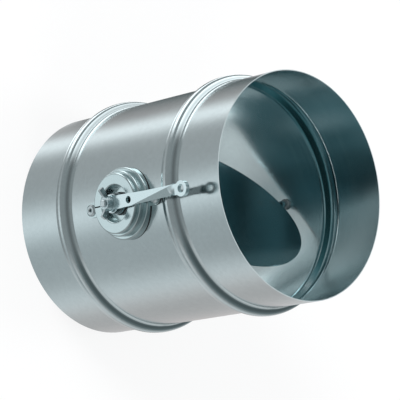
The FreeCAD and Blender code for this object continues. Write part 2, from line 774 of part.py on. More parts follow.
def make_stack():
    """Everything between the dish's floor and the lever."""
    bore = "shaft_radius + shaft_play"
    ring("friction_disc", MECHANISM, bore, "friction_disc_radius",
         "friction_disc_foot", "thrust_washer_foot")
    ring("thrust_washer", MECHANISM, "shaft_radius", "thrust_washer_radius",
         "thrust_washer_foot", "disc_spring_foot")
    turned_body("disc_spring", MECHANISM, [
        ("shaft_radius", "collar_foot - disc_spring_sheet"),
        ("disc_spring_radius", "disc_spring_foot"),
        ("disc_spring_radius", "disc_spring_foot + disc_spring_sheet"),
        ("shaft_radius + disc_spring_sheet", "collar_foot"),
        ("shaft_radius", "collar_foot"),
    ])
    ring("spacer_collar", MECHANISM, "shaft_radius", "collar_radius", "collar_foot", "lever_foot")
    ring("pivot_washer", FAR_SIDE, "pivot_radius + shaft_play", "pivot_bush_flange",
         "pivot_flange_top", "pivot_washer_top")
    ring("clamp_washer", MECHANISM, "stud_radius + nut_play", "clamp_washer_radius",
         "lever_top", "nut_foot")


# Lever


def neck_section(body, along, across, level, width, thickness, turn):
    """Rectangle square to the lever, at a distance from the shaft's axis."""
    sketch = new_sketch(body, "XZ_Plane", offset=f"-({along})", turn=turn)
    bind(sketch, "AttachmentOffset.Base.x", across)
    bind(sketch, "AttachmentOffset.Base.y", level)
    draw_polygon(sketch, [
        ("0", f"-{thickness}"),
        (width, f"-{thickness}"),
        (width, "0"),
        ("0", "0"),
    ])
    doc.recompute()
    return sketch


def make_lever():
    """Tapered strip, creased from edge to edge, with a level eye at its end.

    The part past the crease leans towards the duct on its +x side, and its
    end turns level again in a short neck.
    """
    strip = new_body("lever_strip", MECHANISM)
    outline = new_sketch(strip, "XY_Plane", offset="lever_foot")
    draw_polygon(outline, [
        ("-lever_width / 2", "0"),
        ("lever_width / 2", "0"),
        ("crease_x", "crease_start"),
        ("-lever_tip_width / 2", "crease_end"),
        ("-lever_tip_width / 2", "lever_taper_end"),
    ])
    doc.recompute()
    pad(strip, outline, "lever_sheet")
    along_crease = "rotation(vector(0; 0; 1); atan(crease_drop / crease_run))"
    lean = "rotation(vector(0; 1; 0); crease_angle)"
    flap = new_body("lever_flap", f"{MECHANISM} * placement(vector(crease_x; crease_start; lever_top);"
                                  f" {along_crease} * {lean})")
    corner = new_sketch(flap, "XY_Plane", offset="-lever_sheet")
    draw_polygon(corner, [
        ("0", "0"),
        ("crease_drop", "crease_length"),
        ("0", "crease_length"),
    ])
    doc.recompute()
    pad(flap, corner, "lever_sheet")
    neck = new_body("lever_neck", MECHANISM)
    flap_share = "(neck_foot - crease_start) / crease_run"
    leaning = neck_section(neck, "neck_foot", f"crease_x - crease_drop * {flap_share}", "lever_top",
                           f"crease_drop * {flap_share}", "lever_sheet", "-crease_angle")
    level = neck_section(neck, "neck_end", "-lever_tip_width / 2", "lever_top",
                         "lever_tip_width", "eye_thickness", "0")
    loft = neck.newObject("PartDesign::AdditiveLoft", "lever_neck_loft")
    loft.Profile = leaning
    loft.Sections = [level]
    loft.Ruled = True
    doc.recompute()
    block = box("lever_neck_block", "lever_tip_width", "neck_gap + neck_overlap", "eye_thickness",
                lifted(MECHANISM, "eye_foot", "-lever_tip_width / 2", "neck_end"))
    hub = cylinder("lever_hub", "lever_hub_radius", "lever_sheet", lifted(MECHANISM, "lever_foot"))
    eye = cylinder("lever_eye", "eye_radius", "eye_thickness",
                   lifted(MECHANISM, "eye_foot", "0", "lever_reach"))
    whole = fuse("lever_whole", [strip, flap, neck, block, hub, eye])
    holes = [
        box("lever_square", "square_flats", "square_flats", "lever_sheet",
            lifted(MECHANISM, "lever_foot", "-square_flats / 2", "-square_flats / 2")),
        cylinder("lever_round_hole", "lever_hole_radius", "3 * lever_sheet",
                 lifted(MECHANISM, "lever_foot - lever_sheet", "0", "lever_hole_reach")),
        cylinder("lever_eye_hole", "eye_hole_radius", "3 * eye_thickness",
                 lifted(MECHANISM, "eye_foot - eye_thickness", "0", "lever_reach")),
    ]
    return cut("lever", whole, holes)


# Wing nut


def make_wing_nut():
    hub = turned_body("nut_hub", MECHANISM, [
        ("stud_radius + nut_play", "nut_foot"),
        ("nut_foot_radius", "nut_foot"),
        ("nut_neck_radius", "nut_top"),
        ("stud_radius + nut_play", "nut_top"),
    ])
    wings = []
    for number, sign in enumerate(("", "-"), start=1):
        body = new_body(f"wing{number}", MECHANISM)
        sketch = new_sketch(body, "XZ_Plane", offset="-wing_sheet / 2")
        draw_polygon(sketch, [
            (f"{sign}(nut_neck_radius - wing_root)", "nut_top - wing_shoulder"),
            (f"{sign}(nut_foot_radius - wing_root)", "nut_foot + wing_shoulder"),
            (f"{sign}wing_span / 2", "nut_foot + wing_rise - wing_tip_drop"),
            (f"{sign}(wing_span / 2 - wing_tip_width)", "nut_foot + wing_rise"),
        ])
        doc.recompute()
        pad(body, sketch, "wing_sheet")
        wings.append(body)
    whole = fuse("nut_whole", [hub] + wings)
    return cut("wing_nut", whole, [
        cylinder("nut_bore", "stud_radius + nut_play", "nut_height + wing_rise",
                 lifted(MECHANISM, "nut_foot")),
    ])


make_duct()
make_dish()
make_gasket()
make_dish_rivets()
make_bushes()
make_blade()
make_drive_shaft()
make_pivot_shaft()
make_blade_rivets()
make_clip("drive_clip", DAMPER, "drive_clip_top - clip_sheet", "shaft_radius", "clip_radius")
make_clip("pivot_clip", FAR_SIDE, "pivot_clip_foot", "pivot_radius", "pivot_clip_radius")
make_stack()
make_lever()
make_wing_nut()

NODES = [
    "duct_body", "operating_dish", "dish_gasket", "dish_rivets", "outer_bush", "wall_bush",
    "pivot_bush", "blade", "drive_shaft", "pivot_shaft", "drive_blade_rivets",
    "pivot_blade_rivets", "drive_clip", "pivot_clip", "friction_disc", "thrust_washer",
    "disc_spring", "spacer_collar", "pivot_washer", "clamp_washer", "lever", "wing_nut",
]

doc.recompute()
for item in doc.Objects:
    if "Invalid" in item.State or "Error" in item.State:
        raise ValueError(f"{item.Name} failed: {item.State}")

os.makedirs("parts", exist_ok=True)
for label in NODES:
    shape = doc.getObjectsByLabel(label)[0].Shape
    if shape.isNull() or not shape.isValid() or not shape.Solids:
        raise ValueError(f"{label} has no valid solid")
    shape.exportStep(f"parts/{label}.step")
    low = shape.BoundBox
    print(f"{label:20s} solids {len(shape.Solids)} volume {shape.Volume:9.1f} "
          f"x {low.XMin:.1f} {low.XMax:.1f} y {low.YMin:.1f} {low.YMax:.1f} z {low.ZMin:.1f} {low.ZMax:.1f}")
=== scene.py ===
import math

import bpy
from mathutils import Matrix, Vector


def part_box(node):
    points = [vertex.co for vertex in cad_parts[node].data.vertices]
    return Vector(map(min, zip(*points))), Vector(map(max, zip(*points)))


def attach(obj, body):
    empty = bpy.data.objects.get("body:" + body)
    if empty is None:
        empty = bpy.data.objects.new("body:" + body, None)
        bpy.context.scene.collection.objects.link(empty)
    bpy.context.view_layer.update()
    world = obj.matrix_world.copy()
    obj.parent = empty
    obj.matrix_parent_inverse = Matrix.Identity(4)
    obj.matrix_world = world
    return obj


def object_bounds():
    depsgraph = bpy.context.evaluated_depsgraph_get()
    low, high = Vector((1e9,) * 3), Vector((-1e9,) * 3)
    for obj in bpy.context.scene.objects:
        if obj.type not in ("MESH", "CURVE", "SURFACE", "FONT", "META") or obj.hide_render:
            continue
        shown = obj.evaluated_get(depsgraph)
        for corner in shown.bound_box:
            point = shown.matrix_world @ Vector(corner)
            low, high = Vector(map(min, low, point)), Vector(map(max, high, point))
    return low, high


# Looks of the round air damper: a material for every node, the thread on the
# stud, a white studio and the camera of the photograph. Lengths are in metres.
# The duct's axis is Z, and the dish and the lever are on its front, at -Y.

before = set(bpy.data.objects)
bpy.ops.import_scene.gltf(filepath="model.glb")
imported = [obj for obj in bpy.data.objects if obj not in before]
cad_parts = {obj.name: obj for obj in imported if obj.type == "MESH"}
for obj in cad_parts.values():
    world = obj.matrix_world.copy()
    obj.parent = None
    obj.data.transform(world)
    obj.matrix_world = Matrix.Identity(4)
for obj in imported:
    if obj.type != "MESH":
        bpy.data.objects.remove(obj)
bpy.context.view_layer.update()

# Camera, from a fit to the rims and beads in the photograph.
FRAME_PIXELS = 400
FOCAL_PIXELS = 2285.5
SENSOR_MM = 36.0
CLIP_END = 20.0
CAMERA_DISTANCE = 1.6194
CAMERA_ELEVATION = math.radians(44.735)
CAMERA_AZIMUTH = math.radians(8.6)
CAMERA_ROLL = math.radians(78.24)
AIM_BEFORE_TURN = Vector((-0.00406, 0.00107, 0.10110))

# The casing: its middle, the bore's radius and the height of the upper bead.
MIDDLE = (0.0, 0.0, 0.1)
BORE_RADIUS = 0.0788
BEAD_HEIGHT = 0.154
BEAD_FROM_MIDDLE = BEAD_HEIGHT - MIDDLE[2]

# Sheet metal. Noise is given by its size and detail.
EVEN = (1, 1, 1)
CLOUD_NOISE = (14.0, 5.0)
LINE_NOISE = (1.0, 4.0)
# Shares of the crystals and clouds in the tint, and the ends of its ramp.
TINT_SHARES = (0.35, 0.65)
TINT_ENDS = (0.25, 0.75)
# How clouds and rolling lines change the roughness.
CLOUD_ROUGHNESS = (-0.05, 0.05)
LINE_ROUGHNESS = (-0.03, 0.05)
# Shares of the lines and crystals in the relief, and the relief's strength.
RELIEF_SHARES = (0.5, 0.15)
RELIEF_STRENGTH = 0.5
SHEET_RELIEF = 0.00002
TURNED_RELIEF = 0.00001
GRAIN_RELIEF = 0.00003

# Weld along the casing's back: place, half width, height, strength, and the
# ripple along it.
WELD_X = 0.047
WELD_HALF_WIDTH = 0.0011
WELD_HEIGHT = 0.0003
WELD_STRENGTH = 0.8
WELD_RIPPLE_SCALE = (1, 1, 900)
WELD_RIPPLE_NOISE = (1.0, 1.0)
WELD_RIPPLE = (0.6, 1.0)

# The bore is this much rougher than the outside, except in the upper bead.
BORE_ROUGHNESS = 0.07
BEAD_REACH = 0.0078

# Painted shade line on the beads' flanks, standing in for a rounder bead's dark reflection band:
# distance from the bead's middle, width and how much it darkens the zinc.
FLANK_LINE = 0.0054
FLANK_LINE_WIDTH = 0.0017
FLANK_LINE_DEPTH = 0.42

# Thread on the stud: a ridge that ends THREAD_INSET short of the stud's tip.
STUD_RADIUS = 0.0025
THREAD_PITCH = 0.0008
THREAD_DEPTH = 0.00022
THREAD_ROOT = -0.00002
THREAD_HALF_WIDTH = THREAD_PITCH * 0.42
THREAD_STEPS = 24
THREAD_INSET = 0.0006
THREAD_LENGTH = 0.0009

# World and floor: the camera and reflections see white, and matte surfaces are
# lit by the fill.
WHITE = (1.0, 1.0, 1.0, 1.0)
FILL_COLOUR = (0.94, 0.97, 1.0, 1.0)
FILL_STRENGTH = 0.55
FLOOR_SIZE = 8.0
FLOOR_GAP = 0.0002
FLOOR_COLOUR = (0.9, 0.9, 0.9, 1.0)
FLOOR_GLOW_SHARE = 0.82

# Lamps: name, place, diameter and power.
LAMPS = [
    ("key", (-1.4, -1.2, 1.7), 0.9, 32.0),
    ("side", (1.6, -0.6, 0.9), 0.8, 12.0),
    ("back", (0.2, 1.8, 1.3), 1.0, 16.0),
]

# Light tent. Its light is laid out by the angle, from the front, and the tilt
# of the normal that mirrors it towards the camera, in degrees.
TENT_RADIUS = 3.0
TENT_STEP = 3
TENT_POLE = 89.9
# Strips of light: angle, width and gain.
LIGHT_BASE = 0.445
LIGHT_STRIPS = [
    (-42.3, 6.4, 0.67), (1.5, 9.5, 0.42), (24, 9, 0.03),
    (46, 11, 0.26), (-80, 22, -0.34), (95, 25, 0.12),
]
# Tilts over which the strips fade out upward and downward, and how much wider
# these are where the casing is seen at a grazing angle.
STRIP_RISE = (5, 9)
STRIP_DROP = (6, 14)
STRIP_SPREAD = 1.1
GRAZING_ANGLES = (50, 68)
# What the beads' flanks mirror at low and at high tilts, left and right, and
# the angles over which left turns to right.
LOW_LEVELS = (0.32, 0.64)
HIGH_LEVELS = (0.30, 0.17)
LEVEL_TILTS = (16, 46)
RIGHT_ANGLES = (14, 32)
# Light on flanks that tilt far down, on the left.
FOOT_LIGHT = 0.85
FOOT_TILTS = (30, 40)
# Bright bank on the left, left out between its two ranges of tilts.
BANK = 1.9
BANK_ANGLES = (26, 37)
BANK_END_TILTS = (20, 27)
BANK_START_TILTS = (38, 43)
# Shade beside the strips: angle, tilt, their widths and gain.
SHADE_PATCH = (34, 7, 9, 4, -0.30)
# Sky: its level, the heights over which it fades in, and the tilts from which
# it stands in for strips and flanks.
SKY = 0.16
SKY_HEIGHTS = (15, 45)
SKY_TILTS = (48, 58)
# Soft boxes of the sky and of the back: azimuth, height, width and gain.
SOFT_BOXES = [(-171, 46, 14, 0.8), (-150, 8, 18, 0.8), (150, 0, 14, 0.9)]
# Warmth of the strips: it grows towards the sides, and falls round one angle.
WARM_ANGLES = (42, 60)
COOL_BELL = (15, 30)
COOL_SHARE = 0.6

# Cards under and over the bore, with soft patches: place, width and gain. The
# innermost vertices lie at CARD_CORE of a ring's width from the middle.
CARD_AROUND = 72
CARD_RINGS = 24
CARD_CORE = 0.02
CARD_GAP_BELOW = 0.0001
CARD_GAP_ABOVE = 0.0002
DARKEST = 0.01
BELOW_BASE = 0.43
BELOW_PATCHES = [
    (0.028, 0.028, 0.026, 0.32), (-0.076, 0.010, 0.018, 0.26),
    (0.004, -0.026, 0.016, -0.18), (-0.046, -0.016, 0.012, 0.22),
    (-0.022, -0.058, 0.015, -0.11), (0.050, -0.030, 0.020, 0.12),
    (-0.012, 0.082, 0.017, 3.4), (-0.040, 0.073, 0.011, 2.0),
    (0.022, 0.080, 0.012, 3.0), (0.039, 0.067, 0.013, -0.65),
]
ABOVE_BASE = 0.18
ABOVE_PATCHES = [
    (-0.055, 0.0, 0.032, 0.10), (-0.074, 0.0, 0.016, 0.30),
    (-0.048, 0.060, 0.009, 0.26), (-0.040, -0.062, 0.016, 0.26),
    (-0.005, 0.037, 0.016, -0.17), (0.016, 0.050, 0.010, -0.08),
    (-0.028, 0.037, 0.010, -0.12), (0.030, 0.020, 0.030, -0.08),
    (-0.022, 0.0, 0.012, 0.06), (-0.066, -0.032, 0.016, -0.11),
    (-0.043, 0.034, 0.012, 0.10), (0.008, 0.008, 0.020, -0.05),
    (0.034, 0.056, 0.022, -0.04), (0.026, -0.056, 0.026, 0.07),
    (0.034, 0.032, 0.024, -0.05), (0.010, 0.030, 0.018, -0.03),
    (-0.057, -0.017, 0.016, -0.13), (-0.048, -0.039, 0.012, -0.11),
    (0.004, 0.002, 0.014, -0.06), (-0.017, -0.034, 0.014, 0.17),
]
# Ring of light along the wall on the card under the bore.
RING_REACH = (0.070, 0.0775)
RING_GAIN = 0.45

# Light's colour: red and green share in the shade, then the same when bright.
OUTSIDE_TINT = (0.72, 0.95, 0.98, 0.985)
BORE_TINT = (0.20, 0.86, 0.945, 0.985)
SHADE_LEVELS = (0.06, 0.42)
WARM_RED = 0.10
WARM_GREEN = 0.02

# Places of the mix node's colour sockets, whose names it also gives to others.
MIX_ONE = 6
MIX_OTHER = 7
MIX_RESULT = 2


# Helpers


def new_object(name, vertices, faces, material):
    mesh = bpy.data.meshes.new(name)
    mesh.from_pydata(vertices, [], faces)
    mesh.materials.append(material)
    item = bpy.data.objects.new(name, mesh)
    bpy.context.scene.collection.objects.link(item)
    return item


def new_material(name):
    material = bpy.data.materials.new(name)
    material.use_nodes = True
    tree = material.node_tree
    tree.nodes.clear()
    return material, tree


def new_surface(name, metallic):
    """Material with one shader, for the damper's own pieces."""
    material, tree = new_material(name)
    output = tree.nodes.new("ShaderNodeOutputMaterial")
    shader = tree.nodes.new("ShaderNodeBsdfPrincipled")
    shader.inputs["Metallic"].default_value = metallic
    tree.links.new(shader.outputs["BSDF"], output.inputs["Surface"])
    return material, tree, shader


def shader_of(tree):
    return next(node for node in tree.nodes if node.type == "BSDF_PRINCIPLED")


def source_of(socket):
    return socket.links[0].from_socket


def mapped_position(tree, scale):
    """Row coordinates in metres, scaled for each axis."""
    place = tree.nodes.new("ShaderNodeTexCoord")
    mapping = tree.nodes.new("ShaderNodeMapping")
    mapping.inputs["Scale"].default_value = scale
    tree.links.new(place.outputs["Object"], mapping.inputs["Vector"])
    return mapping.outputs["Vector"]


def noise(tree, scale, size, detail):
    texture = tree.nodes.new("ShaderNodeTexNoise")
    texture.inputs["Scale"].default_value = size
    texture.inputs["Detail"].default_value = detail
    tree.links.new(mapped_position(tree, scale), texture.inputs["Vector"])
    return texture.outputs["Fac"]


def crystals(tree, size):
    """Patches of random value, like the grains of a zinc coat."""
    texture = tree.nodes.new("ShaderNodeTexVoronoi")
    texture.inputs["Scale"].default_value = size
    tree.links.new(mapped_position(tree, EVEN), texture.inputs["Vector"])
    grey = tree.nodes.new("ShaderNodeRGBToBW")
    tree.links.new(texture.outputs["Color"], grey.inputs["Color"])
    return grey.outputs["Val"]


def ramp(tree, source, stops):
    """Colour ramp through two (place, colour) stops."""
    item = tree.nodes.new("ShaderNodeValToRGB")
    for element, (place, colour) in zip(item.color_ramp.elements, stops):
        element.position = place
        element.color = (*colour, 1.0)
    tree.links.new(source, item.inputs["Fac"])
    return item.outputs["Color"]


def map_range(tree, source, start=(0.0, 1.0), end=(0.0, 1.0), kind="LINEAR"):
    """Maps the range start onto the range end, and holds it at its ends."""
    item = tree.nodes.new("ShaderNodeMapRange")
    item.interpolation_type = kind
    item.inputs["From Min"].default_value, item.inputs["From Max"].default_value = start
    item.inputs["To Min"].default_value, item.inputs["To Max"].default_value = end
    tree.links.new(source, item.inputs["Value"])
    return item.outputs["Result"]


def math_node(tree, kind, one, other=None):
    item = tree.nodes.new("ShaderNodeMath")
    item.operation = kind
    for place, value in enumerate((one, other)):
        if value is None:
            continue
        if isinstance(value, (int, float)):
            item.inputs[place].default_value = value
        else:
            tree.links.new(value, item.inputs[place])
    return item.outputs["Value"]


def distance(tree, value, centre):
    return math_node(tree, "ABSOLUTE", math_node(tree, "SUBTRACT", value, centre))


def blended(tree, one, other, shares):
    """Sum of two values, each times its share."""
    return math_node(tree, "ADD", math_node(tree, "MULTIPLY", one, shares[0]),
                     math_node(tree, "MULTIPLY", other, shares[1]))


def split(tree, vector):
    item = tree.nodes.new("ShaderNodeSeparateXYZ")
    tree.links.new(vector, item.inputs["Vector"])
    return item.outputs


def bump(tree, shader, height, reach, strength):
    """Adds relief on top of the relief that the shader has."""
    item = tree.nodes.new("ShaderNodeBump")
    item.inputs["Distance"].default_value = reach
    item.inputs["Strength"].default_value = strength
    tree.links.new(height, item.inputs["Height"])
    if shader.inputs["Normal"].is_linked:
        tree.links.new(source_of(shader.inputs["Normal"]), item.inputs["Normal"])
    tree.links.new(item.outputs["Normal"], shader.inputs["Normal"])


def darken(tree, shader, share, factor):
    """Multiplies the shader's colour by factor, as far as share says."""
    mix = tree.nodes.new("ShaderNodeMix")
    mix.data_type = "RGBA"
    mix.blend_type = "MULTIPLY"
    tree.links.new(share, mix.inputs["Factor"])
    tree.links.new(source_of(shader.inputs["Base Color"]), mix.inputs[MIX_ONE])
    mix.inputs[MIX_OTHER].default_value = (factor, factor, factor, 1.0)
    tree.links.new(mix.outputs[MIX_RESULT], shader.inputs["Base Color"])


# Materials


def shade(colour, factor):
    return tuple(min(1.0, channel * factor) for channel in colour)


def sheet_metal(name, colour, roughness, streak, grain, contrast, relief=SHEET_RELIEF):
    """Zinc-coated or plated steel: faint crystals, rolling lines and smears."""
    material, tree, shader = new_surface(name, metallic=1.0)
    cloud = noise(tree, EVEN, *CLOUD_NOISE)
    grains = crystals(tree, grain)
    lines = noise(tree, streak, *LINE_NOISE)
    tint = ramp(tree, blended(tree, grains, cloud, TINT_SHARES), [
        (TINT_ENDS[0], shade(colour, 1 - contrast)),
        (TINT_ENDS[1], shade(colour, 1 + contrast)),
    ])
    tree.links.new(tint, shader.inputs["Base Color"])
    line_roughness = tuple(roughness + change for change in LINE_ROUGHNESS)
    rough = math_node(tree, "ADD", map_range(tree, cloud, end=CLOUD_ROUGHNESS),
                      map_range(tree, lines, end=line_roughness))
    tree.links.new(rough, shader.inputs["Roughness"])
    bump(tree, shader, blended(tree, lines, grains, RELIEF_SHARES), relief, RELIEF_STRENGTH)
    return material


def turned_metal(name, colour, roughness):
    """Turned or cold-headed steel with fine tool marks."""
    return sheet_metal(name, colour, roughness, streak=(900, 900, 900), grain=1500.0,
                       contrast=0.08, relief=TURNED_RELIEF)


def grainy(name, metallic, fine, cloud, tint, roughness, strength):
    """Fine grain in relief, with a cloudy tint and roughness."""
    material, tree, shader = new_surface(name, metallic)
    grain = noise(tree, EVEN, *fine)
    clouds = noise(tree, EVEN, *cloud)
    tree.links.new(ramp(tree, clouds, tint), shader.inputs["Base Color"])
    tree.links.new(map_range(tree, clouds, end=roughness), shader.inputs["Roughness"])
    bump(tree, shader, grain, GRAIN_RELIEF, strength)
    return material


def cast_metal(name, colour):
    """Cast finish of the wing nut, with a cloudy tint."""
    return grainy(name, metallic=1.0, fine=(2600.0, 3.0), cloud=(260.0, 4.0),
                  tint=[(0.3, shade(colour, 0.75)), (0.75, shade(colour, 1.5))],
                  roughness=(0.16, 0.30), strength=0.4)


def plastic(name, colour, roughness):
    """Moulded plastic, pressed fibre or rubber with a fine matte grain."""
    return grainy(name, metallic=0.0, fine=(3200.0, 2.0), cloud=(120.0, 3.0),
                  tint=[(0.3, shade(colour, 0.85)), (0.7, shade(colour, 1.12))],
                  roughness=(roughness - 0.06, roughness + 0.06), strength=0.5)


def paint_shade_by_facing(material, axis, start, full, factor):
    """Painted shade: darkens faces by factor as their row normal's axis value goes from start to
    full.
    """
    tree = material.node_tree
    place = tree.nodes.new("ShaderNodeTexCoord")
    along = split(tree, place.outputs["Normal"])[axis]
    share = map_range(tree, along, start=(start, full))
    darken(tree, shader_of(tree), share, factor)


def weld(tree, shader, place, axes):
    """Rippled ridge of the lengthwise seam, outside at the back."""
    across = math_node(tree, "SUBTRACT", 1.0, math_node(
        tree, "DIVIDE", distance(tree, axes["X"], WELD_X), WELD_HALF_WIDTH))
    facing = split(tree, place.outputs["Normal"])
    outward = math_node(tree, "GREATER_THAN", facing["Y"], 0.0)
    behind = math_node(tree, "MULTIPLY", outward,
                       math_node(tree, "GREATER_THAN", axes["Y"], 0.0))
    ridge = math_node(tree, "MULTIPLY", math_node(tree, "MAXIMUM", across, 0.0), behind)
    ripple = noise(tree, WELD_RIPPLE_SCALE, *WELD_RIPPLE_NOISE)
    height = math_node(tree, "MULTIPLY", ridge, map_range(tree, ripple, end=WELD_RIPPLE))
    bump(tree, shader, height, WELD_HEIGHT, WELD_STRENGTH)


def away_from_axis(tree, place, axes):
    """Above 0 where the casing faces outward, below 0 in the bore."""
    flat = tree.nodes.new("ShaderNodeCombineXYZ")
    tree.links.new(axes["X"], flat.inputs["X"])
    tree.links.new(axes["Y"], flat.inputs["Y"])
    product = tree.nodes.new("ShaderNodeVectorMath")
    product.operation = "DOT_PRODUCT"
    tree.links.new(flat.outputs["Vector"], product.inputs[0])
    tree.links.new(place.outputs["Normal"], product.inputs[1])
    return product.outputs["Value"]


def duct_metal():
    """The casing's sheet, with its weld, duller bore and a painted shade line on the beads'
    flanks.
    """
    material = sheet_metal("duct_zinc", (0.64, 0.735, 0.75), roughness=0.15,
                           streak=(2, 2, 240), grain=420.0, contrast=0.035)
    tree = material.node_tree
    shader = shader_of(tree)
    place = tree.nodes.new("ShaderNodeTexCoord")
    axes = split(tree, place.outputs["Object"])
    weld(tree, shader, place, axes)
    outward = away_from_axis(tree, place, axes)

    off_bead = math_node(tree, "GREATER_THAN", distance(tree, axes["Z"], BEAD_HEIGHT), BEAD_REACH)
    in_bore = math_node(tree, "MULTIPLY", math_node(tree, "LESS_THAN", outward, 0.0), off_bead)
    rough = math_node(tree, "ADD", source_of(shader.inputs["Roughness"]),
                      math_node(tree, "MULTIPLY", in_bore, BORE_ROUGHNESS))
    tree.links.new(rough, shader.inputs["Roughness"])

    # Painted shade: a dark line along each bead's flank, outside only, in place of a rounder
    # bead's dark reflection band.
    from_bead = distance(tree, distance(tree, axes["Z"], MIDDLE[2]), BEAD_FROM_MIDDLE)
    flank_shade = map_range(tree, distance(tree, from_bead, FLANK_LINE), start=(0.0, FLANK_LINE_WIDTH),
                     end=(FLANK_LINE_DEPTH, 0.0), kind="SMOOTHSTEP")
    outside = math_node(tree, "GREATER_THAN", outward, 0.0)
    darken(tree, shader, math_node(tree, "MULTIPLY", flank_shade, outside), 0.0)
    return material


def dress_nodes():
    """Gives each CAD node its material, and returns them by node."""
    duct = duct_metal()
    dish = sheet_metal("dish_zinc", (0.65, 0.785, 0.80), roughness=0.15,
                       streak=(60, 60, 60), grain=900.0, contrast=0.03)
    blade = sheet_metal("blade_zinc", (0.57, 0.725, 0.76), roughness=0.17,
                        streak=(400, 2, 2), grain=420.0, contrast=0.06)
    lever = sheet_metal("lever_zinc", (0.78, 0.93, 0.955), roughness=0.16,
                        streak=(900, 900, 6), grain=1200.0, contrast=0.03)
    turned = turned_metal("turned_steel", (0.60, 0.68, 0.70), roughness=0.20)
    # Painted shade on the dish: side faces turned away from the front a little darker, faces
    # towards +X much darker.
    paint_shade_by_facing(dish, "Y", start=-0.85, full=-0.4, factor=0.95)
    paint_shade_by_facing(dish, "X", start=0.1, full=0.7, factor=0.55)
    # Painted shade on the lever's back, towards the casing, so that its reflection on the casing
    # is dark.
    paint_shade_by_facing(lever, "Y", start=0.1, full=0.4, factor=0.22)
    rivet = turned_metal("rivet_zinc", (0.56, 0.64, 0.655), roughness=0.22)
    spring = turned_metal("spring_steel", (0.20, 0.25, 0.26), roughness=0.26)
    cast = cast_metal("wing_nut_iron", (0.50, 0.59, 0.61))
    nylon = plastic("bush_nylon", (0.19, 0.23, 0.24), roughness=0.42)
    fibre = plastic("friction_fibre", (0.035, 0.035, 0.035), roughness=0.75)
    # The gasket's rubber is near black, and this dark line also stands as the painted shade of the
    # gap between the dish and the casing.
    rubber = plastic("gasket_rubber_gap_shade", (0.018, 0.018, 0.02), roughness=0.6)
    finish = {
        "duct_body": duct,
        "operating_dish": dish,
        "dish_gasket": rubber,
        "dish_rivets": rivet,
        "outer_bush": nylon,
        "wall_bush": nylon,
        "pivot_bush": nylon,
        "friction_disc": fibre,
        "blade": blade,
        "drive_shaft": turned,
        "pivot_shaft": turned,
        "drive_blade_rivets": rivet,
        "pivot_blade_rivets": rivet,
        "drive_clip": spring,
        "pivot_clip": spring,
        "thrust_washer": turned,
        "disc_spring": spring,
        "spacer_collar": turned,
        "pivot_washer": turned,
        "lever": lever,
        "clamp_washer": rivet,
        "wing_nut": cast,
    }
    for node, material in finish.items():
        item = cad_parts[node]
        if not item.material_slots:
            item.data.materials.append(material)
        for place in item.material_slots:
            place.material = material
    return finish


# Thread on the stud


def make_thread(material):
    """A ridge wound round the stud's free end, between the nut and its tip."""
    washer_low, washer_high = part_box("clamp_washer")
    axis_z = (washer_low[2] + washer_high[2]) / 2
    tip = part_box("drive_shaft")[0][1] + THREAD_INSET
    start = tip + THREAD_LENGTH
    turns = (start - tip) / THREAD_PITCH
    count = int(turns * THREAD_STEPS)
    vertices = []
    faces = []
    for step in range(count + 1):
        angle = 2 * math.pi * step / THREAD_STEPS
        along = start - THREAD_PITCH * step / THREAD_STEPS
        fade = min(1.0, step / THREAD_STEPS, (count - step) / THREAD_STEPS)
        profile = (
            (THREAD_HALF_WIDTH, THREAD_ROOT),
            (0.0, THREAD_DEPTH * fade),
            (-THREAD_HALF_WIDTH, THREAD_ROOT),
        )
        for shift, rise in profile:
            reach = STUD_RADIUS + rise
            vertices.append((reach * math.cos(angle), along + shift,
                             axis_z + reach * math.sin(angle)))
        if step:
            first = 3 * (step - 1)
            faces.append((first, first + 1, first + 4, first + 3))
            faces.append((first + 1, first + 2, first + 5, first + 4))
    thread = new_object("stud_thread", vertices, faces, material)
    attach(thread, "damper")


# Studio


def white_rays(tree):
    """1 for camera, glossy and transmission rays, else 0."""
    path = tree.nodes.new("ShaderNodeLightPath")
    first = math_node(tree, "MAXIMUM", path.outputs["Is Camera Ray"],
                      path.outputs["Is Glossy Ray"])
    return math_node(tree, "MAXIMUM", first, path.outputs["Is Transmission Ray"])


def mix_shaders(tree, share, one, other, output):
    mix = tree.nodes.new("ShaderNodeMixShader")
    tree.links.new(share, mix.inputs["Fac"])
    tree.links.new(one, mix.inputs[1])
    tree.links.new(other, mix.inputs[2])
    tree.links.new(mix.outputs["Shader"], output.inputs["Surface"])


def make_world():
    """White for the camera and mirrors, and a soft fill for the rest."""
    world = bpy.data.worlds.new("studio")
    bpy.context.scene.world = world
    world.use_nodes = True
    tree = world.node_tree
    tree.nodes.clear()
    output = tree.nodes.new("ShaderNodeOutputWorld")
    lights = []
    for colour, strength in ((FILL_COLOUR, FILL_STRENGTH), (WHITE, 1.0)):
        light = tree.nodes.new("ShaderNodeBackground")
        light.inputs["Color"].default_value = colour
        light.inputs["Strength"].default_value = strength
        lights.append(light.outputs["Background"])
    mix_shaders(tree, white_rays(tree), *lights, output)


def make_floor():
    """White floor that keeps a soft shadow under the damper."""
    material, tree = new_material("floor_white")
    output = tree.nodes.new("ShaderNodeOutputMaterial")
    matte = tree.nodes.new("ShaderNodeBsdfDiffuse")
    matte.inputs["Color"].default_value = FLOOR_COLOUR
    glow = tree.nodes.new("ShaderNodeEmission")
    glow.inputs["Strength"].default_value = 1.0
    share = math_node(tree, "MULTIPLY", white_rays(tree), FLOOR_GLOW_SHARE)
    mix_shaders(tree, share, matte.outputs["BSDF"], glow.outputs["Emission"], output)
    half = FLOOR_SIZE / 2
    corners = [(-half, -half, 0), (half, -half, 0), (half, half, 0), (-half, half, 0)]
    floor = new_object("floor", corners, [(0, 1, 2, 3)], material)
    floor.location.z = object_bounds()[0][2] - FLOOR_GAP
    floor.visible_glossy = False


